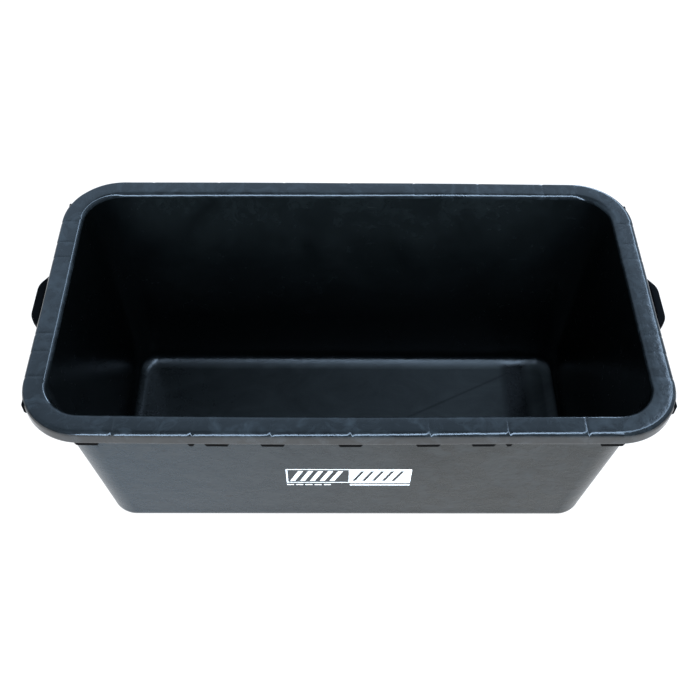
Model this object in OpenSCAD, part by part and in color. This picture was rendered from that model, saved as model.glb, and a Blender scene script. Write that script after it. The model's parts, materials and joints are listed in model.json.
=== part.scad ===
// Rectangular mortar mixing tub: one plastic moulding with a skirted rim, and a
// swinging carrying handle on two pins under the rim at each short end.
// Millimetres, +Z up, X along the tub. The origin is the middle of the base.

/* [Tub] */
// Overall length over the rim, without the handles
tub_l = 760; // [720:5:820]
// Overall width over the rim
tub_w = 412; // [390:2:440]
// Height from the floor to the top of the rim
tub_h = 315; // [280:5:360]
// Length of the base before its edge is rounded
base_l = 654; // [640:2:680]
// Width of the base before its edge is rounded
base_w = 280; // [266:2:300]
// Radius of the edge between the base and the walls
base_edge_r = 22; // [16:1:28]
// Corner radius of the base, seen from above
base_corner_r = 36; // [32:1:46]
// Thickness of the walls and of the base
wall_t = 3; // [2.5:0.5:4]

/* [Rim] */
// Corner radius of the rim's outer edge, seen from above
rim_corner_r = 73; // [64:1:80]
// Width of the rim from its outer edge to the opening
rim_width = 28; // [26:0.5:30]
// Thickness of the rim's top plate
rim_t = 4; // [3:0.5:5]
// Depth of the skirt that hangs from the rim
skirt_depth = 19; // [18:1:22]
// Thickness of the skirt
skirt_t = 3; // [3:0.5:4]
// Radius of the rim's outer edge
rim_edge_r = 6.5; // [3:0.5:10]
// Bevel around the mouth
mouth_bevel = 3.5; // [1:0.5:4]

/* [Ribs] */
// Distance between the ribs under the long sides of the rim
rib_pitch = 89; // [80:1:92]
// Thickness of the ribs under the rim
rib_t = 3; // [2:0.5:4]
// Width of a stacking lug
lug_w = 30; // [20:1:36]
// How far the stacking lugs hang below the skirt
lug_drop = 6; // [2:0.5:10]
// Width of the stacking lugs at the short ends
end_lug_w = 22; // [12:1:26]

/* [Handles] */
// Length of a handle over its two arms
handle_l = 98; // [94:1:104]
// Length of the straight grip on the outside
grip_l = 54; // [46:1:60]
// How far a handle stands out past the rim
handle_reach = 14; // [12:0.5:20]
// Height of the grip and of the arms
grip_h = 13; // [11:0.5:14]
// Thickness of the grip, inside to outside
grip_t = 12; // [8:0.5:12]
// Width of each arm
arm_w = 10; // [8:0.5:11]
// Distance of the pin's axis inside the rim's outer edge
pin_inset = 12; // [11.5:0.5:12.5]
// Distance of the pin's axis below the top of the rim
pin_drop = 18; // [17:0.5:20]
// Diameter of a hinge pin
pin_d = 6; // [4:0.5:7]
// Radial clearance of a handle on its pins
pin_clearance = 0.05; // [0.02:0.01:0.1]

/* [Print] */
// Length of the printed panel on the front wall
print_l = 160; // [100:5:180]
// Height of the printed panel, measured up the wall
print_h = 44; // [30:1:60]
// Height of the panel's middle above the floor
print_z = 146; // [130:1:180]
// Thickness of the ink
ink_t = 0.3; // [0.2:0.1:0.5]

/* [Hidden] */

$fn = 48;
tub_colour = [0.20, 0.22, 0.26];
handle_colour = [0.06, 0.06, 0.07];
pin_colour = [0.62, 0.63, 0.65];
ink_colour = [0.92, 0.92, 0.92];

mouth_l = tub_l - 2 * rim_width;
mouth_w = tub_w - 2 * rim_width;
mouth_corner_r = rim_corner_r - rim_width;
skirt_bottom = tub_h - skirt_depth;
plate_bottom = tub_h - rim_t;
edge_steps = 6;

pin_x = tub_l / 2 - pin_inset;
pin_z = tub_h - pin_drop;
arm_y = handle_l / 2 - arm_w;
side_gap = 0.5;
cheek_t = 6.5;
cheek_r = pin_d / 2 + 2.5;
pin_length = arm_w + 2 * side_gap + 2 * cheek_t - 1;
notch_half = handle_l / 2 + side_gap + cheek_t / 2;
notch_top = pin_z + grip_h / 2 + 0.5;

side_slope = (mouth_w / 2 + wall_t - base_w / 2) / tub_h;
end_slope = (mouth_l / 2 + wall_t - base_l / 2) / tub_h;
side_rib_places = [for (i = [-3:3]) i * rib_pitch];
end_rib_places = [-130, -90, 90, 130];
wide_lug_places = [-298, -151, -88, 0, 88, 151, 298];
small_lug_places = [-180, 180];
end_lug_places = [-152, 152];

// Half the outer length or width of the tub's wall at a height
function wall_x(z) = base_l / 2 + end_slope * z;
function wall_y(z) = base_w / 2 + side_slope * z;

// A thin plate with round corners that lies level at height z
module level_plate(l, w, r, z, t = 0.5) {
    for (sx = [-1, 1], sy = [-1, 1]) {
        translate([sx * (l / 2 - r), sy * (w / 2 - r), z])
            cylinder(h = t, r = r);
    }
}

// A tapered body with round corners and a rounded lower edge.
// inset moves every side inwards, and bottom is the height of its lower face.
module tapered_body(inset, bottom, top) {
    edge_r = base_edge_r;
    edge_z = bottom + edge_r;
    hull() {
        for (i = [0:edge_steps]) {
            angle = 90 * i / edge_steps;
            cut = inset + edge_r * (1 - sin(angle));
            level_plate(2 * (wall_x(edge_z) - cut), 2 * (wall_y(edge_z) - cut),
                        base_corner_r - cut, edge_z - edge_r * cos(angle), 0.01);
        }
        level_plate(2 * (wall_x(top) - inset), 2 * (wall_y(top) - inset),
                    mouth_corner_r + wall_t - inset, top - 0.01, 0.01);
    }
}

// The bevelled mouth of the opening
module mouth_cutter() {
    hull() {
        level_plate(mouth_l - 1, mouth_w - 1, mouth_corner_r - 0.5, tub_h - mouth_bevel - 1);
        level_plate(mouth_l + 2 * mouth_bevel, mouth_w + 2 * mouth_bevel,
                    mouth_corner_r + mouth_bevel, tub_h);
    }
}

// Section of the rim: a level plate with a round outer edge and a hanging skirt.
// Its outer face is at rim_corner_r from the axis of the corner.
module rim_section() {
    outer = rim_corner_r;
    round_x = outer - rim_edge_r;
    round_z = tub_h - rim_edge_r;
    edge = [for (i = [0:edge_steps]) let (a = 90 * i / edge_steps)
            [round_x + rim_edge_r * sin(a), round_z + rim_edge_r * cos(a)]];
    polygon(concat(
        [[outer - rim_width - 1, tub_h]],
        edge,
        [[outer, skirt_bottom], [outer - skirt_t, skirt_bottom],
         [outer - skirt_t, plate_bottom], [outer - rim_width - 1, plate_bottom]]));
}

// One straight side of the rim, drawn for the side that faces +X
module rim_side(length) {
    translate([-rim_corner_r, length / 2, 0])
        rotate([90, 0, 0])
            linear_extrude(height = length) rim_section();
}

module rim() {
    half_l = tub_l / 2 - rim_corner_r;
    half_w = tub_w / 2 - rim_corner_r;
    for (end = [0, 180]) {
        rotate([0, 0, end]) {
            translate([tub_l / 2, 0, 0]) rim_side(2 * half_w);
            translate([half_l, half_w, 0]) rotate_extrude(angle = 90) rim_section();
            translate([half_l, -half_w, 0])
                rotate([0, 0, -90]) rotate_extrude(angle = 90) rim_section();
            rotate([0, 0, 90]) translate([tub_w / 2, 0, 0]) rim_side(2 * half_l);
        }
    }
}

// Ribs that tie the skirt to the wall, and the stacking lugs, on one long side
module side_ribs() {
    inner = wall_y(skirt_bottom) - 1;
    outer = tub_w / 2 - 1;
    for (x = side_rib_places) {
        translate([x - rib_t / 2, inner, skirt_bottom + 4])
            cube([rib_t, outer - inner, plate_bottom - skirt_bottom - 3]);
    }
    for (x = wide_lug_places) stacking_lug(x, lug_w, inner, outer);
    for (x = small_lug_places) stacking_lug(x, lug_w / 3, inner, outer);
}

// A lug between the wall and the skirt, narrower towards its lower edge
module stacking_lug(x, w, inner, outer) {
    low = skirt_bottom - lug_drop;
    high = plate_bottom + 1;
    translate([x, outer, 0])
        rotate([90, 0, 0])
            linear_extrude(height = outer - inner)
                polygon([[-w / 2 + 3, low], [w / 2 - 3, low], [w / 2, skirt_bottom],
                         [w / 2, high], [-w / 2, high], [-w / 2, skirt_bottom]]);
}

// A plate between the wall and the rim that holds one end of a pin, rounded
// about the pin so that the handle's corner clears it
module hinge_cheek(y) {
    inner = wall_x(skirt_bottom) - 1;
    translate([0, y - cheek_t / 2, 0]) {
        translate([inner, 0, pin_z - cheek_r])
            cube([pin_x - inner, cheek_t, cheek_r + plate_bottom + 1 - pin_z]);
        translate([pin_x - 0.01, 0, pin_z])
            cube([cheek_r, cheek_t, plate_bottom + 1 - pin_z]);
        translate([pin_x, cheek_t, pin_z])
            rotate([90, 0, 0]) cylinder(h = cheek_t, r = cheek_r);
    }
}

// Ribs and hinge cheeks at the end that faces +X
module end_ribs() {
    inner = wall_x(skirt_bottom) - 1;
    outer = tub_l / 2 - 1;
    for (y = end_rib_places) {
        translate([inner, y - rib_t / 2, skirt_bottom + 4])
            cube([outer - inner, rib_t, plate_bottom - skirt_bottom - 3]);
    }
    for (y = end_lug_places) {
        rotate([0, 0, -90]) stacking_lug(y, end_lug_w, inner, outer - 5);
    }
    for (side = [-1, 1], gap_side = [-1, 1]) {
        hinge_cheek(side * (arm_y + arm_w / 2)
                    + gap_side * (arm_w / 2 + side_gap + cheek_t / 2));
    }
}

// Space that the handle swings through, and the bores for its pins, at the +X end
module hinge_cutter() {
    translate([tub_l / 2 - skirt_t - 0.01, -notch_half, skirt_bottom - 1])
        cube([skirt_t + 1, 2 * notch_half, notch_top - skirt_bottom + 1]);
    for (side = [-1, 1]) {
        translate([pin_x, side * (arm_y + arm_w / 2) + pin_length / 2 + 1, pin_z])
            rotate([90, 0, 0])
                cylinder(h = pin_length + 2, d = pin_d);
    }
}

module tub() {
    color(tub_colour)
    difference() {
        union() {
            tapered_body(0, 0, tub_h - 1);
            rim();
            for (turn = [0, 180]) {
                rotate([0, 0, turn]) {
                    side_ribs();
                    end_ribs();
                }
            }
        }
        tapered_body(wall_t, wall_t, tub_h + 2);
        mouth_cutter();
        for (turn = [0, 180]) rotate([0, 0, turn]) hinge_cutter();
    }
}

// A handle for the end that faces +X: a bar with bevelled corners on two arms
module handle() {
    reach_x = tub_l / 2 + handle_reach;
    grip_x = reach_x - grip_t;
    corner_x = tub_l / 2 - 1;
    half = handle_l / 2;
    grip_half = grip_l / 2;
    run = reach_x - corner_x;
    rise = half - grip_half;
    bevel_l = sqrt(run * run + rise * rise);
    // A point on the inner face of the bevelled corner, arm_w in from the outer face
    inner_p = [corner_x - arm_w * rise / bevel_l, half - arm_w * run / bevel_l];
    inner_arm_x = inner_p[0] + (inner_p[1] - arm_y) * run / rise;
    inner_grip_y = inner_p[1] - (grip_x - inner_p[0]) * rise / run;
    outline = [[pin_x, half], [corner_x, half], [reach_x, grip_half],
               [reach_x, -grip_half], [corner_x, -half], [pin_x, -half],
               [pin_x, -arm_y], [inner_arm_x, -arm_y], [grip_x, -inner_grip_y],
               [grip_x, inner_grip_y], [inner_arm_x, arm_y], [pin_x, arm_y]];
    color(handle_colour)
    difference() {
        union() {
            translate([0, 0, pin_z - grip_h / 2])
                linear_extrude(height = grip_h) polygon(outline);
            for (side = [-1, 1]) {
                translate([pin_x, side * (arm_y + arm_w / 2) + arm_w / 2, pin_z])
                    rotate([90, 0, 0]) cylinder(h = arm_w, d = grip_h);
            }
        }
        translate([pin_x, handle_l, pin_z])
            rotate([90, 0, 0])
                cylinder(h = 2 * handle_l, d = pin_d + 2 * pin_clearance);
    }
}

// A hinge pin, with side_x = 1 for the right end and side_y = 1 for the back
module pin(side_x, side_y) {
    color(pin_colour)
    translate([side_x * pin_x, side_y * (arm_y + arm_w / 2) + pin_length / 2, pin_z])
        rotate([90, 0, 0]) cylinder(h = pin_length, d = pin_d);
}

// Lays flat shapes on the front wall, with +Y up the wall and the ink outwards
module on_front_wall() {
    lean = atan(side_slope);
    translate([0, -wall_y(print_z) - 0.01, print_z])
        rotate([90 + lean, 0, 0])
            linear_extrude(height = ink_t) children();
}

// One slanted bar of the printed pattern
module slanted_bar(x, w, h) {
    slant = 0.35 * h;
    polygon([[x - slant / 2, -h / 2], [x + w - slant / 2, -h / 2],
             [x + w + slant / 2, h / 2], [x + slant / 2, h / 2]]);
}

module front_print() {
    line = 2;
    bars = 5;
    panel = print_l / 2;
    bar_pitch = (panel - 2 * line) / (bars + 1);
    bar_h = print_h - 6 * line;
    color(ink_colour)
    on_front_wall() {
        difference() {
            square([print_l, print_h], center = true);
            translate([-panel + line, -print_h / 2 + line])
                square([panel - line, print_h - 2 * line]);
            for (i = [0:bars - 1]) slanted_bar(bar_pitch * (i + 0.8), bar_pitch / 3, bar_h);
        }
        for (i = [0:bars - 1]) {
            slanted_bar(-panel + bar_pitch * (i + 0.8), bar_pitch / 2, bar_h);
        }
        translate([line, -print_h / 2 - 9]) square([panel - line, 5]);
        for (i = [0:4]) translate([-panel + 12 * i, -print_h / 2 - 8]) square([9, 3]);
    }
}

tub();
rotate([0, 0, 180]) handle();  // handle_left
handle();  // handle_right
pin(-1, -1);  // pin_left_front
pin(-1, 1);  // pin_left_back
pin(1, -1);  // pin_right_front
pin(1, 1);  // pin_right_back
front_print();
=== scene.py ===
"""The visual model of a rectangular mortar mixing tub: moulded shell with ribs and lugs under its rim,
two hinged handles, their pins and a print on the front wall."""
import json
import math

import bmesh
import bpy
from mathutils import Matrix, Vector, noise


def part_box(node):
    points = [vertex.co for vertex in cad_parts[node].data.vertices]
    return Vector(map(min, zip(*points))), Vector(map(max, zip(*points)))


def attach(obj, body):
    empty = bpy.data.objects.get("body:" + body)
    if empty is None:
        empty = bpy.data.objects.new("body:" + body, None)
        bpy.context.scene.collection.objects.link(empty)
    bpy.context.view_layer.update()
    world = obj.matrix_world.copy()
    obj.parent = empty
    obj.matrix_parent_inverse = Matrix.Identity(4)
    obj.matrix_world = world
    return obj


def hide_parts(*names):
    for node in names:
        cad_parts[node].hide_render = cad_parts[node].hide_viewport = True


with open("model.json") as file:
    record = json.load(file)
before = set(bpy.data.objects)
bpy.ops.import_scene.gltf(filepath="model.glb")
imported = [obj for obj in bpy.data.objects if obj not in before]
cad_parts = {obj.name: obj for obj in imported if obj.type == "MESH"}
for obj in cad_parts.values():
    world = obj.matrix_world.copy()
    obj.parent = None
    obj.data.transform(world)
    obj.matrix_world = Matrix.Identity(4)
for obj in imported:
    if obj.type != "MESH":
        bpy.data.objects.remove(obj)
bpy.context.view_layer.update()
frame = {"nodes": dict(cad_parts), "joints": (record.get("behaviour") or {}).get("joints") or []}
# noise_vector takes its seed from the clock unless it is given one
noise.seed_set(7)

# ---------------------------------------------------------------- sizes, in metres
TUB_LOW, TUB_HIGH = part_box("tub")
HALF_L, HALF_W, TOP = TUB_HIGH.x, TUB_HIGH.y, TUB_HIGH.z
RIM_WIDTH = 0.028
RIM_CORNER = 0.073
BASE_HALF_L, BASE_HALF_W = 0.327, 0.140
BASE_CORNER = 0.036
BASE_EDGE = 0.022
WALL = 0.003
# The rim: a flat plate, a skirt hanging from its outer edge, and the roundings between them
PLATE = 0.004
SKIRT = 0.003
SKIRT_DEPTH = 0.019
OUTER_ROUND = 0.0065
INNER_ROUND = 0.006
UNDER_ROUND = 0.004
LIP_ROUND = 0.0012

MOUTH_L, MOUTH_W = HALF_L - RIM_WIDTH, HALF_W - RIM_WIDTH
MOUTH_CORNER = RIM_CORNER - RIM_WIDTH
SKIRT_LOW = TOP - SKIRT_DEPTH
STRAIGHT_L, STRAIGHT_W = HALF_L - RIM_CORNER, HALF_W - RIM_CORNER

# Ribs cross the channel under the rim, and each leaves a sink mark on top. The marks beside the hinges
# have no rib under them
RIB_PITCH = 0.089
SIDE_RIBS = [i * RIB_PITCH for i in range(-3, 4)]
END_RIBS = [-0.127, -0.090, 0.090, 0.127]
HINGE_MARKS = [-0.063, 0.063]
END_MARKS = sorted(END_RIBS + HINGE_MARKS)
RIB_T = 0.003
SINK_DEPTH = 0.0003
SINK_WIDTH = 0.0014

# Stacking lugs hang a little below the skirt
WIDE_LUGS = [-0.298, -0.151, -0.088, 0.0, 0.088, 0.151, 0.298]
SMALL_LUGS = [-0.180, 0.180]
LUG_WIDTH = 0.030
END_LUGS = [-0.154, 0.154]
END_LUG_WIDTH = 0.022
LUG_DROP = 0.006

HANDLE_LOW, HANDLE_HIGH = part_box("handle_right")
HANDLE_HALF = HANDLE_HIGH.y
HINGE = Vector(next(j for j in frame["joints"] if j["name"] == "handle_right_hinge")["pos_m"])
GRIP_HALF = 0.027
GRIP_T = 0.012
ARM_W = 0.010
HANDLE_EDGE_ROUND = 0.0032
HANDLE_BEND = 0.006
EYE_STEPS = 6

# The slot in the skirt that the handle passes through
NOTCH_HALF = HANDLE_HALF + 0.00375
NOTCH_TOP = HINGE.z + 0.007

# How far the drafted walls lean out, per metre of height
END_SLOPE = (MOUTH_L + WALL - BASE_HALF_L) / TOP
SIDE_SLOPE = (MOUTH_W + WALL - BASE_HALF_W) / TOP

PRINT_LENGTH, PRINT_HEIGHT, PRINT_LINE, PRINT_BARS = 0.160, 0.044, 0.002, 5
PRINT_MIDDLE = 0.146
INK_T = 0.00012
INK_SUNK = 0.0003

# Warping of the moulding: waves, and the outward bow of the long sides
WAVE = 0.0011
BOW = 0.0022
SHARP_ANGLE = math.radians(38)


# ---------------------------------------------------------------- small helpers
def smooth(a, b, x):
    t = min(max((x - a) / (b - a), 0.0), 1.0)
    return t * t * (3 - 2 * t)


def add_object(name, verts, faces, material, body):
    mesh = bpy.data.meshes.new(name)
    mesh.from_pydata([tuple(v) for v in verts], [], faces)
    mesh.validate()
    bm = bmesh.new()
    bm.from_mesh(mesh)
    bmesh.ops.recalc_face_normals(bm, faces=bm.faces)
    bm.to_mesh(mesh)
    bm.free()
    mesh.shade_smooth()
    mesh.set_sharp_from_angle(angle=SHARP_ANGLE)
    obj = bpy.data.objects.new(name, mesh)
    bpy.context.scene.collection.objects.link(obj)
    mesh.materials.append(material)
    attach(obj, body)
    return obj


def warp(p):
    """The moulding isn't quite true: slow waves, and long sides that bow outwards."""
    p = Vector(p)
    up = smooth(0.05, TOP, p.z)
    wave = noise.noise_vector(p * 5.0) * WAVE * up
    wave.z *= 0.6
    outwards = 1 if p.y > 0 else -1
    bow = BOW * (1 - (p.x / HALF_L) ** 2) * up * outwards * smooth(0.08, 0.16, abs(p.y))
    return p + wave + Vector((0, bow, 0))


# ---------------------------------------------------------------- materials
class Nodes:
    """Builds one procedural material around a Principled shader."""

    def __init__(self, name):
        self.material = bpy.data.materials.new(name)
        self.material.use_nodes = True
        self.tree = self.material.node_tree
        self.shader = self.tree.nodes["Principled BSDF"]
        self.place = self.add("ShaderNodeTexCoord").outputs["Object"]

    def add(self, kind, **values):
        node = self.tree.nodes.new(kind)
        for key, value in values.items():
            setattr(node, key, value)
        return node

    def link(self, a, b):
        self.tree.links.new(a, b)

    def scaled(self, scale):
        mapping = self.add("ShaderNodeMapping")
        self.link(self.place, mapping.inputs["Vector"])
        mapping.inputs["Scale"].default_value = scale
        return mapping.outputs["Vector"]

    def noise(self, scale, detail=4.0, rough=0.5, vector=None, distortion=0.0):
        node = self.add("ShaderNodeTexNoise")
        self.link(vector or self.place, node.inputs["Vector"])
        node.inputs["Scale"].default_value = scale
        node.inputs["Detail"].default_value = detail
        node.inputs["Roughness"].default_value = rough
        node.inputs["Distortion"].default_value = distortion
        return node.outputs["Fac"]

    def ramp(self, fac, stops):
        node = self.add("ShaderNodeValToRGB")
        self.link(fac, node.inputs["Fac"])
        ramp = node.color_ramp
        while len(ramp.elements) < len(stops):
            ramp.elements.new(0.5)
        for element, (at, value) in zip(ramp.elements, stops):
            element.position = at
            colour = value if isinstance(value, tuple) else (value, value, value)
            element.color = (*colour, 1)
        return node.outputs["Color"]

    def mix(self, fac, a, b):
        node = self.add("ShaderNodeMix", data_type="RGBA", blend_type="MIX")
        for socket, value in zip((node.inputs[0], node.inputs[6], node.inputs[7]), (fac, a, b)):
            if isinstance(value, (float, int, tuple)):
                socket.default_value = (*value, 1) if isinstance(value, tuple) else value
            else:
                self.link(value, socket)
        return node.outputs[2]

    def math(self, operation, a, b):
        node = self.add("ShaderNodeMath", operation=operation)
        for socket, value in zip(node.inputs, (a, b)):
            if isinstance(value, (float, int)):
                socket.default_value = value
            else:
                self.link(value, socket)
        return node.outputs[0]

    def bump(self, height, distance, normal=None):
        node = self.add("ShaderNodeBump")
        node.inputs["Distance"].default_value = distance
        self.link(height, node.inputs["Height"])
        if normal:
            self.link(normal, node.inputs["Normal"])
        return node.outputs["Normal"]

    def set(self, **values):
        for key, value in values.items():
            socket = self.shader.inputs[key.replace("_", " ")]
            if isinstance(value, (float, int)):
                socket.default_value = value
            elif isinstance(value, tuple):
                socket.default_value = (*value, 1)
            else:
                self.link(value, socket)


def tub_rim():
    """The rim: satin, lightly mottled."""
    n = Nodes("tub_rim")
    mottle = n.noise(9.0, 6.0, 0.6, distortion=0.6)
    blotch = n.noise(34.0, 9.0, 0.7, distortion=1.2)
    colour = n.ramp(mottle, [(0.32, (0.007, 0.008, 0.008)), (0.72, (0.013, 0.014, 0.014))])
    colour = n.mix(n.ramp(blotch, [(0.47, 0.0), (0.70, 0.8)]), colour, (0.030, 0.034, 0.035))
    rough = n.math("ADD", n.math("MULTIPLY", blotch, 0.14), 0.07)
    waves = n.bump(n.noise(38.0, 4.0, 0.55), 0.0004)
    dents = n.bump(n.noise(160.0, 3.0, 0.6), 0.0001, waves)
    grain = n.bump(n.noise(900.0, 2.0, 0.5), 0.00003, dents)
    n.set(Base_Color=colour, Roughness=rough, Normal=grain, IOR=1.40)
    return n.material


def tub_wall():
    """The outer walls: duller than the rim, scuffed, with a painted reflection that makes them lighter and a
    little cooler towards the left end.
    """
    n = Nodes("tub_wall")
    mottle = n.noise(9.0, 6.0, 0.6, distortion=0.6)
    blotch = n.noise(34.0, 9.0, 0.7, distortion=1.2)
    split = n.add("ShaderNodeSeparateXYZ")
    n.link(n.place, split.inputs[0])
    # Painted reflection: the wall colour turns lighter and bluish towards the left end
    painted_reflection_leftwards = n.math("ADD", n.math("MULTIPLY", split.outputs["X"], -1.2), 0.5)
    left = n.ramp(painted_reflection_leftwards, [(0.35, 0.0), (0.95, 1.0)])
    colour = n.ramp(mottle, [(0.30, (0.007, 0.008, 0.007)), (0.74, (0.020, 0.021, 0.019))])
    colour = n.mix(left, colour, (0.016, 0.028, 0.036))
    colour = n.mix(n.ramp(blotch, [(0.47, 0.0), (0.72, 0.7)]), colour, (0.033, 0.037, 0.037))
    pits = n.noise(120.0, 5.0, 0.7, distortion=0.8)
    colour = n.mix(n.ramp(pits, [(0.58, 0.0), (0.70, 0.7)]), colour, (0.005, 0.006, 0.007))
    rough = n.math("ADD", n.math("MULTIPLY", blotch, 0.20), 0.18)
    waves = n.bump(n.noise(26.0, 5.0, 0.6), 0.0008)
    dents = n.bump(n.noise(160.0, 3.0, 0.6), 0.0002, waves)
    n.set(Base_Color=colour, Roughness=rough, Normal=dents, IOR=1.25)
    return n.material


def tub_inside():
    """The inside: near black as painted shade, lighter towards the mouth with painted light and mottled
    scuffs, and a dusty base crossed by painted shade.
    """
    n = Nodes("tub_inside")
    split = n.add("ShaderNodeSeparateXYZ")
    n.link(n.place, split.inputs[0])
    x, z = split.outputs["X"], split.outputs["Z"]
    # A ramp takes 0 to 1, so lengths in metres are multiplied up before each one
    scuff_and_light_noise = n.noise(7.0, 7.0, 0.62, distortion=1.0)
    blotch = n.noise(46.0, 8.0, 0.68, distortion=1.5)
    # Painted light: the inside walls grow lighter towards the mouth and fade near the ends, mottled like
    # scuffs
    height = n.ramp(n.math("MULTIPLY", z, 3.17), [(0.30, 0.0), (0.65, 0.35), (0.97, 1.0)])
    scuffs_and_painted_light = n.math("MULTIPLY", height, n.ramp(scuff_and_light_noise, [(0.25, 0.25), (0.70, 1.0)]))
    scuffs_and_painted_light = n.math("MULTIPLY", scuffs_and_painted_light, n.ramp(blotch, [(0.30, 0.5), (0.72, 1.0)]))
    ends = n.ramp(n.math("MULTIPLY", n.math("ABSOLUTE", x, 0.0), 2.5), [(0.62, 1.0), (0.84, 0.12)])
    scuffs_and_painted_light = n.math("MULTIPLY", scuffs_and_painted_light, ends)
    # The near-black base colour is painted shade: the same plastic is much lighter on the outer walls
    colour = n.mix(scuffs_and_painted_light, (0.0004, 0.0006, 0.0006), (0.018, 0.020, 0.018))
    low = n.ramp(n.math("MULTIPLY", z, 100.0), [(0.25, 0.0), (0.32, 1.0), (0.60, 1.0), (1.2, 0.0)])
    along = n.math("ADD", n.math("MULTIPLY", x, 1.3), 0.56)
    streak = n.noise(11.0, 8.0, 0.7, n.scaled((1.0, 1.6, 1.0)), distortion=1.5)
    dust_and_painted_shade = n.math("MULTIPLY", n.math("MULTIPLY", low, along), n.ramp(streak, [(0.28, 0.45), (0.72, 1.0)]))
    # A painted shadow line across the base, and a darker strip of painted shade before the right end
    from_y = n.math("SUBTRACT", -0.02, split.outputs["Y"])
    painted_shadow_line = n.math("ABSOLUTE", n.math("ADD", n.math("MULTIPLY", x, 0.52), from_y), 0.0)
    dust_and_painted_shade = n.math("MULTIPLY", dust_and_painted_shade, n.ramp(n.math("MULTIPLY", painted_shadow_line, 100.0), [(0.05, 0.45), (0.35, 1.0)]))
    painted_shade_band = n.math("ABSOLUTE", n.math("SUBTRACT", x, 0.262), 0.0)
    dust_and_painted_shade = n.math("MULTIPLY", dust_and_painted_shade, n.ramp(n.math("MULTIPLY", painted_shade_band, 10.0), [(0.12, 0.15), (0.24, 1.0)]))
    colour = n.mix(dust_and_painted_shade, colour, (0.052, 0.055, 0.052))
    rough = n.math("ADD", n.math("MULTIPLY", blotch, 0.16), 0.17)
    rough = n.math("ADD", rough, n.math("MULTIPLY", dust_and_painted_shade, 0.30))
    waves = n.bump(n.noise(38.0, 4.0, 0.55), 0.0004)
    specks = n.bump(n.noise(260.0, 4.0, 0.7), 0.00012, waves)
    n.set(Base_Color=colour, Roughness=rough, Normal=specks, IOR=1.35)
    return n.material


def black_plastic(name):
    """Dull, fine-grained black: the handles' own colour, and painted shade on the stacking lugs."""
    n = Nodes(name)
    grain = n.noise(700.0, 3.0, 0.6)
    mottle = n.noise(40.0, 4.0, 0.5)
    colour = n.ramp(mottle, [(0.3, (0.0006, 0.0006, 0.0007)), (0.7, (0.0014, 0.0014, 0.0016))])
    n.set(Base_Color=colour, Roughness=n.math("ADD", n.math("MULTIPLY", mottle, 0.15), 0.55),
          Normal=n.bump(grain, 0.00008), IOR=1.10)
    return n.material


def pin_steel():
    """Bright steel with faint drawing lines."""
    n = Nodes("pin_steel")
    lines = n.noise(300.0, 4.0, 0.6, n.scaled((1.0, 0.04, 1.0)))
    n.set(Base_Color=n.ramp(lines, [(0.3, (0.42, 0.43, 0.45)), (0.7, (0.62, 0.63, 0.65))]),
          Metallic=1.0, Roughness=n.math("ADD", n.math("MULTIPLY", lines, 0.25), 0.25),
          Normal=n.bump(lines, 0.00005))
    return n.material


def print_ink():
    """White ink, worn through in specks. It also glows a little, as painted light."""
    n = Nodes("print_ink")
    wear = n.noise(420.0, 8.0, 0.75)
    patch = n.noise(45.0, 3.0, 0.5)
    worn = n.ramp(n.math("ADD", wear, n.math("MULTIPLY", patch, 0.25)), [(0.74, 0.0), (0.80, 1.0)])
    colour = n.mix(worn, (0.86, 0.86, 0.84), (0.10, 0.105, 0.115))
    # The emission is painted light: a faint glow that brightens the ink
    n.set(Base_Color=colour, Roughness=n.math("ADD", n.math("MULTIPLY", patch, 0.2), 0.4),
          Normal=n.bump(wear, 0.00003), Emission_Color=colour, Emission_Strength=0.35)
    return n.material


def floor_paint():
    """A pale floor that gives its own soft light."""
    n = Nodes("floor_paint")
    tone = n.noise(1.5, 3.0, 0.5)
    white = n.ramp(tone, [(0.3, (0.99, 0.99, 0.99)), (0.7, (1.0, 1.0, 1.0))])
    # The pool of light on the floor is brightest a little way in front of the tub
    split = n.add("ShaderNodeSeparateXYZ")
    n.link(n.place, split.inputs[0])
    pool = n.ramp(n.math("MULTIPLY", split.outputs["Y"], -1.0), [(0.22, 0.50), (0.50, 0.85)])
    n.set(Base_Color=(0.05, 0.05, 0.05), Roughness=0.7, Emission_Color=white,
          Emission_Strength=n.math("MULTIPLY", pool, 2.06))
    return n.material


TUB_RIM = tub_rim()
TUB_WALL = tub_wall()
TUB_INSIDE = tub_inside()
HANDLE_PLASTIC = black_plastic("handle_plastic")
# The stacking lugs belong to the tub's moulding; their black is painted shade, for the shade under the skirt
LUG_PAINTED_SHADE = black_plastic("lug_painted_shade")
PIN_STEEL = pin_steel()
PRINT_INK = print_ink()
FLOOR_PAINT = floor_paint()


# ---------------------------------------------------------------- the shell
def side_stations(half, places, step, extra=()):
    """Places along a straight side, from -half to half: even steps, closer together at each rib."""
    count = round(2 * half / step)
    found = {round(-half + 2 * half * i / count, 6) for i in range(count + 1)}
    near = (-0.004, -0.002, -0.0011, 0.0, 0.0011, 0.002, 0.004)
    for place in places:
        found = {s for s in found if abs(s - place) > 0.0055}
        found |= {round(place + d, 6) for d in near if abs(place + d) < half - 0.0005}
    for place in extra:
        found = {s for s in found if abs(s - place) > 0.001}
        found.add(place)
    return sorted(found | {-half, half})


CORNER_STEPS = 18
END_STATIONS = side_stations(STRAIGHT_W, END_MARKS, 0.010, (-NOTCH_HALF, NOTCH_HALF))
LONG_STATIONS = side_stations(STRAIGHT_L, SIDE_RIBS, 0.012)

# Each column of the shell is (side, place along the side) or (corner, angle)
COLUMNS = []
for side in range(4):
    for place in (END_STATIONS if side % 2 == 0 else LONG_STATIONS):
        COLUMNS.append(("side", side, place))
    for i in range(1, CORNER_STEPS):
        COLUMNS.append(("corner", side, math.radians(90 * i / CORNER_STEPS)))


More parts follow.
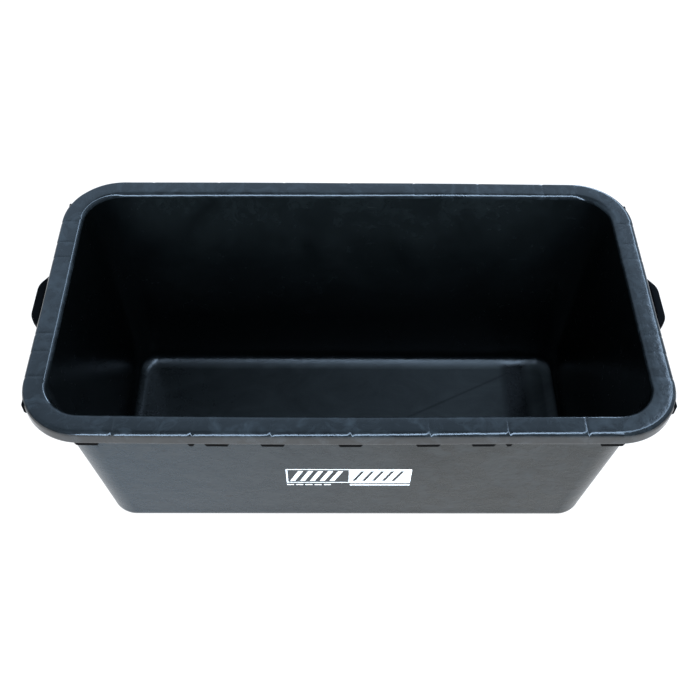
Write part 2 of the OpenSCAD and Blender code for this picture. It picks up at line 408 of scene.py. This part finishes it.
def ring_point(column, half_l, half_w, corner, z):
    """Where a column crosses the rounded rectangle of these half sizes at height z."""
    kind, side, value = column
    if kind == "side":
        if side % 2 == 0:
            x, y = half_l, value / STRAIGHT_W * (half_w - corner)
        else:
            x, y = half_w, value / STRAIGHT_L * (half_l - corner)
        local = Vector((x, y, z))
        return Matrix.Rotation(math.pi / 2 * side, 3, "Z") @ local
    signs = [(1, 1), (-1, 1), (-1, -1), (1, -1)][side]
    angle = value + math.pi / 2 * side
    return Vector((signs[0] * (half_l - corner) + corner * math.cos(angle),
                   signs[1] * (half_w - corner) + corner * math.sin(angle), z))


def rib_mark(column):
    """How close a column is to a rib: 1 on it, 0 away from it."""
    kind, side, value = column
    if kind == "corner":
        return 0.0
    ribs = END_MARKS if side % 2 == 0 else SIDE_RIBS
    return max(math.exp(-((value - r) / SINK_WIDTH) ** 2) for r in ribs)


def bay_level(column):
    """The rim between two ribs has cooled at its own height, so its highlight jumps at each rib."""
    kind, side, value = column
    ribs = END_MARKS if side % 2 == 0 else SIDE_RIBS
    bay = sum(1 for r in ribs if value > r) if kind == "side" else (len(ribs) if value < 0.8 else 0)
    if kind == "corner" and value >= 0.8:
        side = (side + 1) % 4
    return noise.noise(Vector((7.3 * side + 0.7, 3.1 * bay + 0.4, 1.9)))


def wall_ring(inset, z):
    """Half length, half width and corner radius of the drafted wall, inset from its outer face."""
    t = (z - BASE_EDGE) / (TOP - BASE_EDGE)
    corner = BASE_CORNER + (MOUTH_CORNER + WALL - BASE_CORNER) * max(t, 0)
    return (BASE_HALF_L + END_SLOPE * z - inset, BASE_HALF_W + SIDE_SLOPE * z - inset, corner - inset)


def base_rings(inset, bottom, steps=10):
    """The rounded edge between base and wall, from the flat base outwards."""
    edge_z = bottom + BASE_EDGE
    l, w, r = wall_ring(inset, edge_z)
    rings = []
    for i in range(steps + 1):
        angle = math.pi / 2 * i / steps
        cut = BASE_EDGE * (1 - math.sin(angle))
        rings.append((l - cut, w - cut, r - cut, edge_z - BASE_EDGE * math.cos(angle), 0.0))
    return rings


def flat_rings(border, steps):
    """Rings inside the flat base's border. Each step is a cut inwards and a change of height."""
    l, w, r, z, _ = border
    return [(l - cut, w - cut, max(r - cut, 0.002), z + rise, 0.0) for cut, rise in steps]


def rim_ring(out, z, mark):
    """A ring of the rim this far out from the mouth. mark says how much of a rib's sink shows on it."""
    return (MOUTH_L + out, MOUTH_W + out, MOUTH_CORNER + out, z, mark)


def arc(centre_out, centre_z, radius, start, end, steps, mark):
    """Rings on an arc of the rim's section, angles in degrees from the outward direction."""
    rings = []
    for i in range(steps + 1):
        a = math.radians(start + (end - start) * i / steps)
        rings.append(rim_ring(centre_out + radius * math.cos(a), centre_z + radius * math.sin(a), mark))
    return rings


def shell_rings():
    """The section of the shell as rings, from the middle of the inside to the middle of the underside.

    Also gives the ring numbers where the rim's top, its outer face and its plate's underside begin.
    """
    inside = base_rings(WALL, WALL)
    rings = flat_rings(inside[0], [(0.010, 0.0), (0.002, 0.0)]) + inside
    low, high, steps = WALL + BASE_EDGE, TOP - INNER_ROUND, 14
    for i in range(1, steps):
        z = low + (high - low) * i / steps
        rings.append((*wall_ring(WALL, z), z, 0.0))
    mouth = len(rings)
    rings += arc(INNER_ROUND, TOP - INNER_ROUND, INNER_ROUND, 180, 90, 8, 0.6)
    flat_end = RIM_WIDTH - OUTER_ROUND
    for i in (1, 2):
        rings.append(rim_ring(INNER_ROUND + (flat_end - INNER_ROUND) * i / 3, TOP, 1.0))
    rings += arc(flat_end, TOP - OUTER_ROUND, OUTER_ROUND, 90, 0, 9, 1.0)
    first_out = len(rings)
    rings.append(rim_ring(RIM_WIDTH, NOTCH_TOP, 0.7))
    for i in (1, 2, 3):
        rings.append(rim_ring(RIM_WIDTH, NOTCH_TOP + (SKIRT_LOW + LIP_ROUND - NOTCH_TOP) * i / 3, 0.5))
    rings += arc(RIM_WIDTH - LIP_ROUND, SKIRT_LOW + LIP_ROUND, LIP_ROUND, -30, -150, 4, 0.4)
    inner_face = RIM_WIDTH - SKIRT
    rings.append(rim_ring(inner_face, SKIRT_LOW + LIP_ROUND, 0.3))
    rings.append(rim_ring(inner_face, (SKIRT_LOW + NOTCH_TOP) / 2, 0.3))
    last_in = len(rings)
    rings.append(rim_ring(inner_face, NOTCH_TOP, 0.3))
    under = TOP - PLATE
    rings += arc(inner_face - UNDER_ROUND, under - UNDER_ROUND, UNDER_ROUND, 0, 90, 4, 0.6)
    rings += arc(WALL + UNDER_ROUND + 0.001, under - UNDER_ROUND, UNDER_ROUND, 90, 180, 4, 0.6)
    low, high = BASE_EDGE, under - UNDER_ROUND - 0.002
    for i in range(steps):
        z = high + (low - high) * i / steps
        rings.append((*wall_ring(0.0, z), z, 0.0))
    outside = base_rings(0.0, 0.0)
    rings += outside[::-1]
    # The middle of the base is recessed, so the tub stands on its border
    rings += flat_rings(outside[0], [(0.012, 0.0012), (0.010, 0.0012), (0.008, 0.0), (0.001, 0.0)])[::-1]
    return rings, mouth, first_out, last_in


def build_shell():
    """The shell, as one closed surface with a slot in the skirt at each end."""
    rings, mouth, first_out, last_in = shell_rings()
    n = len(COLUMNS)
    marks = [rib_mark(c) for c in COLUMNS]
    levels = [bay_level(c) for c in COLUMNS]
    verts = []
    for half_l, half_w, corner, z, mark in rings:
        for column, at_rib, level in zip(COLUMNS, marks, levels):
            p = ring_point(column, half_l, half_w, corner, z)
            p.z += mark * (SINK_DEPTH * level - SINK_DEPTH * at_rib)
            if mark:
                outward = Vector((p.x / HALF_L if abs(p.x) > STRAIGHT_L else 0.0,
                                  p.y / HALF_W if abs(p.y) > STRAIGHT_W else 0.0, 0.0))
                p += outward * mark * (SINK_DEPTH * level - SINK_DEPTH * at_rib)
            verts.append(warp(p))

    def in_notch(c):
        kind, side, value = COLUMNS[c]
        return kind == "side" and side % 2 == 0 and -NOTCH_HALF - 1e-6 < value < NOTCH_HALF + 1e-6

    faces = []
    for k in range(len(rings) - 1):
        for c in range(n):
            d = (c + 1) % n
            if first_out <= k < last_in and in_notch(c) and in_notch(d):
                continue
            faces.append((k * n + c, k * n + d, (k + 1) * n + d, (k + 1) * n + c))
    for c in range(n):
        d = (c + 1) % n
        if in_notch(c) and in_notch(d):
            faces.append((first_out * n + c, first_out * n + d, last_in * n + d, last_in * n + c))
        if in_notch(c) != in_notch(d):
            edge = c if in_notch(c) else d
            faces.append(tuple(k * n + edge for k in range(first_out, last_in + 1)))
    faces.append(tuple(range(n)))
    last = (len(rings) - 1) * n
    faces.append(tuple(range(last, last + n)))
    shell = add_object("tub_shell", verts, faces, TUB_RIM, "tub")
    shell.data.materials.append(TUB_INSIDE)
    shell.data.materials.append(TUB_WALL)
    # Slots of the shell: 0 the rim and skirt, 1 the inside, 2 the outer walls and underside
    for face in shell.data.polygons:
        if all(v < (mouth + 1) * n for v in face.vertices):
            face.material_index = 1
        elif all(v >= last_in * n for v in face.vertices):
            face.material_index = 2
    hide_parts("tub")


# ---------------------------------------------------------------- ribs, lugs and hinge cheeks
def rounded_prism(outline, low, high, axes, bevel):
    """A closed prism of an outline, with its edges rounded. axes says which axis each outline value is."""
    bm = bmesh.new()
    u, v, w = axes
    rings = []
    for depth in (low, high):
        ring = []
        for a, b in outline:
            p = [0.0, 0.0, 0.0]
            p[u], p[v], p[w] = a, b, depth
            ring.append(bm.verts.new(p))
        rings.append(ring)
    bm.faces.new(rings[0])
    bm.faces.new(rings[1][::-1])
    for i in range(len(outline)):
        j = (i + 1) % len(outline)
        bm.faces.new((rings[0][i], rings[0][j], rings[1][j], rings[1][i]))
    bmesh.ops.recalc_face_normals(bm, faces=bm.faces)
    bmesh.ops.bevel(bm, geom=bm.edges[:], offset=bevel, segments=2, profile=0.5, affect="EDGES")
    bm.verts.ensure_lookup_table()
    bm.verts.index_update()
    verts = [v.co.copy() for v in bm.verts]
    faces = [tuple(v.index for v in f.verts) for f in bm.faces]
    bm.free()
    return verts, faces


class Pile:
    """Collects closed pieces of mesh into one object."""

    def __init__(self):
        self.verts, self.faces = [], []

    def add(self, piece, turn=0.0, flip=False):
        verts, faces = piece
        start = len(self.verts)
        matrix = Matrix.Rotation(turn, 3, "Z")
        if flip:
            matrix = matrix @ Matrix.Diagonal((1, -1, 1))
        self.verts += [warp(matrix @ v) for v in verts]
        self.faces += [tuple(start + i for i in f) for f in faces]


def against_wall(piece, axis, base, slope, outer):
    """Leans the inner side of a prism to lie inside the drafted wall. Its depth runs from 0 to 1."""
    verts, faces = piece
    for v in verts:
        wall = base + slope * v.z - WALL / 2
        v[axis] = wall + (outer - wall) * v[axis]
    return verts, faces


def lug(x, width, axis=1, base=BASE_HALF_W, lean=SIDE_SLOPE, outer=HALF_W - 0.0012):
    """A stacking lug under the rim, narrower at its lower edge."""
    low, slope = SKIRT_LOW - LUG_DROP, 0.003
    outline = [(x - width / 2 + slope, low), (x + width / 2 - slope, low), (x + width / 2, SKIRT_LOW + 0.001),
               (x + width / 2, TOP - PLATE), (x - width / 2, TOP - PLATE), (x - width / 2, SKIRT_LOW + 0.001)]
    return against_wall(rounded_prism(outline, 0, 1, (1 - axis, 2, axis), 0.0008), axis, base, lean, outer)


def rib(place, axis, base, slope, outer):
    """A thin rib across the channel under the rim, between the wall and the skirt."""
    low, high, thick = SKIRT_LOW + 0.004, TOP - PLATE + 0.001, RIB_T
    outline = [(place - thick / 2, low), (place + thick / 2, low), (place + thick / 2, high),
               (place - thick / 2, high)]
    return against_wall(rounded_prism(outline, 0, 1, (1 - axis, 2, axis), 0.0004), axis, base, slope, outer)


def build_ribs():
    pile, lugs = Pile(), Pile()
    for turn in (0.0, math.pi):
        for x in SIDE_RIBS:
            pile.add(rib(x, 1, BASE_HALF_W, SIDE_SLOPE, HALF_W - 0.0015), turn)
        for x in WIDE_LUGS:
            lugs.add(lug(x, LUG_WIDTH), turn)
        for x in SMALL_LUGS:
            lugs.add(lug(x, LUG_WIDTH / 3), turn)
        for y in END_LUGS:
            lugs.add(lug(y, END_LUG_WIDTH, 0, BASE_HALF_L, END_SLOPE, HALF_L - 0.0046), turn)
        for y in END_RIBS:
            pile.add(rib(y, 0, BASE_HALF_L, END_SLOPE, HALF_L - 0.0015), turn)
    # The stacking lugs take the black material as painted shade
    for name, piece, material in (("rim_ribs", pile, TUB_WALL), ("stacking_lugs", lugs, LUG_PAINTED_SHADE)):
        obj = add_object(name, piece.verts, piece.faces, material, "tub")


def build_cheeks():
    """A pair of cheeks for each pin, one on either side of the handle's arm."""
    pile = Pile()
    radius, thick, gap = 0.0055, 0.0065, 0.0005
    low, high = HINGE.z - radius, TOP - PLATE + 0.001
    outline = [(BASE_HALF_L + END_SLOPE * low - WALL / 2, low)]
    for i in range(13):
        a = math.radians(-90 + 90 * i / 12)
        outline.append((HINGE.x + radius * math.cos(a), HINGE.z + radius * math.sin(a)))
    outline += [(HINGE.x + radius, high), (BASE_HALF_L + END_SLOPE * high - WALL / 2, high)]
    for turn in (0.0, math.pi):
        for side in (-1, 1):
            for way in (-1, 1):
                middle = side * (HANDLE_HALF - ARM_W / 2) + way * (ARM_W / 2 + gap + thick / 2)
                low_y, high_y = middle - thick / 2, middle + thick / 2
                pile.add(rounded_prism(outline, low_y, high_y, (0, 2, 1), 0.0003), turn)
    cheeks = add_object("hinge_cheeks", pile.verts, pile.faces, TUB_WALL, "tub")


# ---------------------------------------------------------------- handles
def handle_path():
    """Centre line of half a handle in plan, from the grip's middle to the pin, with rounded bends."""
    grip_x = HANDLE_HIGH.x - GRIP_T / 2
    corner_x = HALF_L - 0.001
    arm_y = HANDLE_HALF - ARM_W / 2
    knots = [Vector((grip_x, 0)), Vector((grip_x, GRIP_HALF - 0.003)),
             Vector((corner_x - 0.003, arm_y - 0.0005)), Vector((HINGE.x, arm_y))]
    points = [knots[0], Vector((grip_x, 0.015))]
    for before, knot, after in zip(knots, knots[1:], knots[2:]):
        a = knot + (before - knot).normalized() * min(HANDLE_BEND, (before - knot).length / 2)
        b = knot + (after - knot).normalized() * min(HANDLE_BEND, (after - knot).length / 2)
        for i in range(7):
            t = i / 6
            points.append(a * (1 - t) ** 2 + knot * 2 * t * (1 - t) + b * t * t)
    points.append(knots[-1])
    return points


def section(half_thick, half_high, round_r, steps=5):
    """A rounded rectangle, as offsets across and up."""
    r = min(round_r, half_high * 0.999, half_thick * 0.999)
    points = []
    for quarter, (sx, sy) in enumerate([(1, 1), (-1, 1), (-1, -1), (1, -1)]):
        for i in range(steps + 1):
            a = math.pi / 2 * (quarter + i / steps)
            points.append((sx * (half_thick - r) + r * math.cos(a), sy * (half_high - r) + r * math.sin(a)))
    return points


def build_handle(name, turn):
    """A handle swept along its centre line. The left one is the right one turned half round."""
    half = handle_path()
    path = [Vector((p.x, -p.y)) for p in half[:0:-1]] + half
    half_high = (HANDLE_HIGH.z - HANDLE_LOW.z) / 2
    stations = []
    for i, p in enumerate(path):
        before, after = path[max(i - 1, 0)], path[min(i + 1, len(path) - 1)]
        along = (after - before).normalized()
        across = Vector((along.y, -along.x))
        grip = smooth(HANDLE_HALF - 0.008, GRIP_HALF - 0.004, abs(p.y))
        stations.append((p, across, ARM_W / 2 + (GRIP_T - ARM_W) / 2 * grip, half_high))
    # Past each pin the arm ends in a round eye
    for end in (0, -1):
        p, across, thick, high = stations[end]
        tail = []
        for i in range(1, EYE_STEPS + 1):
            a = math.pi / 2 * i / EYE_STEPS
            tail.append((p - Vector((math.sin(a) * high, 0)), across, thick, max(high * math.cos(a), 0.0006)))
        stations = tail[::-1] + stations if end == 0 else stations + tail
    verts, faces = [], []
    for p, across, thick, high in stations:
        for out, up in section(thick, high, HANDLE_EDGE_ROUND):
            place = p + across * out
            verts.append(Vector((place.x, place.y, HINGE.z + up)))
    n = len(verts) // len(stations)
    for k in range(len(stations) - 1):
        for c in range(n):
            d = (c + 1) % n
            faces.append((k * n + c, k * n + d, (k + 1) * n + d, (k + 1) * n + c))
    faces.append(tuple(range(n)))
    faces.append(tuple(range(len(verts) - n, len(verts))))
    spin = Matrix.Rotation(turn, 3, "Z")
    handle = add_object(name + "_moulding", [spin @ v for v in verts], faces, HANDLE_PLASTIC, name)
    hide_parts(name)


# ---------------------------------------------------------------- print on the front wall
def wall_place(x, up):
    """A point of the front wall, up along it from the print's middle height."""
    lean = math.atan(SIDE_SLOPE)
    z = PRINT_MIDDLE + up * math.cos(lean)
    y = -(BASE_HALF_W + SIDE_SLOPE * PRINT_MIDDLE) - up * math.sin(lean)
    return Vector((x, y, z))


def build_print():
    """A plain panel: slanted bars on the left half, slanted gaps on the right, and dashes below."""
    length, height, line, bars = PRINT_LENGTH, PRINT_HEIGHT, PRINT_LINE, PRINT_BARS
    half = length / 2
    pitch = (half - 2 * line) / (bars + 1)
    bar_h = height - 6 * line
    slant = 0.35 * bar_h
    pile_verts, pile_faces = [], []

    def patch(corners, cols, rows):
        """A closed patch of ink that follows the wall, from its four corners."""
        start = len(pile_verts)
        a, b, c, d = [Vector(p) for p in corners]
        for layer in (0, 1):
            for j in range(rows + 1):
                for i in range(cols + 1):
                    u, v = i / cols, j / rows
                    flat = (a * (1 - u) + b * u) * (1 - v) + (d * (1 - u) + c * u) * v
                    p = warp(wall_place(flat.x, flat.y))
                    pile_verts.append(p + Vector((0, -INK_T if layer else INK_SUNK, 0)))
        count = (rows + 1) * (cols + 1)
        for layer in (0, 1):
            for j in range(rows):
                for i in range(cols):
                    q = start + layer * count + j * (cols + 1) + i
                    face = (q, q + 1, q + cols + 2, q + cols + 1)
                    pile_faces.append(face if layer else face[::-1])
        rim = list(range(cols + 1)) + [(j + 1) * (cols + 1) + cols for j in range(rows)]
        rim += [rows * (cols + 1) + i for i in range(cols - 1, -1, -1)]
        rim += [j * (cols + 1) for j in range(rows - 1, 0, -1)]
        for k in range(len(rim)):
            p, q = rim[k], rim[(k + 1) % len(rim)]
            pile_faces.append((start + p, start + q, start + count + q, start + count + p))

    def box(x0, y0, x1, y1, cols=12, rows=2):
        patch([(x0, y0), (x1, y0), (x1, y1), (x0, y1)], cols, rows)

    def bar(x, w):
        patch([(x - slant / 2, -bar_h / 2), (x + w - slant / 2, -bar_h / 2),
               (x + w + slant / 2, bar_h / 2), (x + slant / 2, bar_h / 2)], 2, 8)

    top = height / 2
    box(-half, top - line, 0, top)
    box(-half, -top, 0, -top + line)
    box(-half, -top + line, -half + line, top - line, 1, 8)
    for i in range(bars):
        bar(-half + pitch * (i + 0.8), pitch / 2)
    # The right half is solid, with slanted gaps
    box(0, bar_h / 2, half, top)
    box(0, -top, half, -bar_h / 2)
    edge = 0.0
    for i in range(bars + 1):
        gap = pitch * (i + 0.8)
        left = [(edge - slant / 2, -bar_h / 2), (edge + slant / 2, bar_h / 2)]
        if i == 0:
            left = [(0.0, -bar_h / 2), (0.0, bar_h / 2)]
        right = [(gap - slant / 2, -bar_h / 2), (gap + slant / 2, bar_h / 2)]
        if i == bars:
            right = [(half, -bar_h / 2), (half, bar_h / 2)]
        patch([left[0], right[0], right[1], left[1]], 3, 8)
        edge = gap + pitch / 3
    box(line, -top - 0.009, half, -top - 0.004)
    for i in range(5):
        box(-half + 0.012 * i, -top - 0.008, -half + 0.012 * i + 0.009, -top - 0.005, 2, 1)
    print_piece = add_object("print_ink_layer", pile_verts, pile_faces, PRINT_INK, "tub")
    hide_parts("front_print")


# ---------------------------------------------------------------- stage, light and camera
def build_stage():
    size = 8.0
    mesh = bpy.data.meshes.new("studio_floor")
    corners = [(-size, -size, 0), (size, -size, 0), (size, size, 0), (-size, size, 0)]
    mesh.from_pydata(corners, [], [(0, 1, 2, 3)])
    mesh.materials.append(FLOOR_PAINT)
    floor = bpy.data.objects.new("studio_floor", mesh)
    bpy.context.scene.collection.objects.link(floor)
    floor.location.z = -0.0005
    build_light()
    bpy.context.scene.view_settings.view_transform = "Standard"


# A long soft strip of light passes over the tub, from low in front of its left end to behind its right
# end, where it is dimmer
STRIP_ACROSS = Vector((-0.896, 0.281, 0.345))
STRIP_HALF_WIDTH = 0.055
STRIP_STRENGTH = 28.0
SKY = (0.54, 0.74, 1.0)

CAMERA_LENS = 50.67
CAMERA_PLACE = (-0.0180, -0.8050, 1.2329)
CAMERA_YAW, CAMERA_PITCH, CAMERA_ROLL = math.radians(-1.23), math.radians(51.85), math.radians(1.16)


def build_light():
    """A bluish sky, brighter behind the tub and half way up, with the strip across it."""
    world = bpy.data.worlds.new("studio")
    world.use_nodes = True
    tree = world.node_tree
    background = tree.nodes["Background"]

    def node(kind, operation, a, b):
        new = tree.nodes.new(kind)
        new.operation = operation
        for socket, value in zip(new.inputs, (a, b)):
            if isinstance(value, bpy.types.NodeSocket):
                tree.links.new(value, socket)
            else:
                socket.default_value = value
        return new.outputs["Value"]

    def math_node(operation, a, b):
        return node("ShaderNodeMath", operation, a, b)

    def ramp(fac, stops):
        new = tree.nodes.new("ShaderNodeValToRGB")
        tree.links.new(fac, new.inputs["Fac"])
        while len(new.color_ramp.elements) < len(stops):
            new.color_ramp.elements.new(0.5)
        for element, (at, value) in zip(new.color_ramp.elements, stops):
            element.position = at
            element.color = (value, value, value, 1)
        return new.outputs["Color"]

    way = tree.nodes.new("ShaderNodeTexCoord").outputs["Generated"]
    split = tree.nodes.new("ShaderNodeSeparateXYZ")
    tree.links.new(way, split.inputs[0])
    up = split.outputs["Z"]
    across = math_node("ABSOLUTE", node("ShaderNodeVectorMath", "DOT_PRODUCT", way, STRIP_ACROSS), 0.0)
    strip = ramp(across, [(0.0, 1.0), (STRIP_HALF_WIDTH, 1.0), (STRIP_HALF_WIDTH * 1.6, 0.0)])
    strip = math_node("MULTIPLY", strip, ramp(up, [(0.0, 0.0), (0.03, 1.0)]))
    strip = math_node("MULTIPLY", strip, ramp(split.outputs["X"], [(0.20, 1.0), (0.36, 0.45)]))
    height = ramp(up, [(0.0, 0.35), (0.35, 1.3), (0.68, 1.7), (0.80, 1.25), (1.0, 0.5)])
    backwards = math_node("ADD", math_node("MULTIPLY", split.outputs["Y"], 0.5), 0.5)
    back = ramp(backwards, [(0.0, 0.25), (0.5, 0.55), (0.8, 1.0)])
    sky = math_node("MULTIPLY", height, back)
    total = math_node("ADD", sky, math_node("MULTIPLY", strip, STRIP_STRENGTH))
    background.inputs["Color"].default_value = (*SKY, 1)
    tree.links.new(total, background.inputs["Strength"])
    bpy.context.scene.world = world


def build_camera():
    camera = bpy.data.cameras.new("camera")
    camera.sensor_width = 36
    camera.lens = CAMERA_LENS
    eye = bpy.data.objects.new("camera", camera)
    turn = (Matrix.Rotation(CAMERA_YAW, 4, "Z") @ Matrix.Rotation(math.pi / 2 - CAMERA_PITCH, 4, "X")
            @ Matrix.Rotation(CAMERA_ROLL, 4, "Z"))
    eye.matrix_world = Matrix.Translation(CAMERA_PLACE) @ turn
    bpy.context.scene.collection.objects.link(eye)
    bpy.context.scene.camera = eye


build_camera()
build_stage()
build_shell()
build_ribs()
build_cheeks()
build_handle("handle_right", 0.0)
build_handle("handle_left", math.pi)
build_print()
for pin in ("pin_left_front", "pin_left_back", "pin_right_front", "pin_right_back"):
    frame["nodes"][pin].data.materials.clear()
    frame["nodes"][pin].data.materials.append(PIN_STEEL)
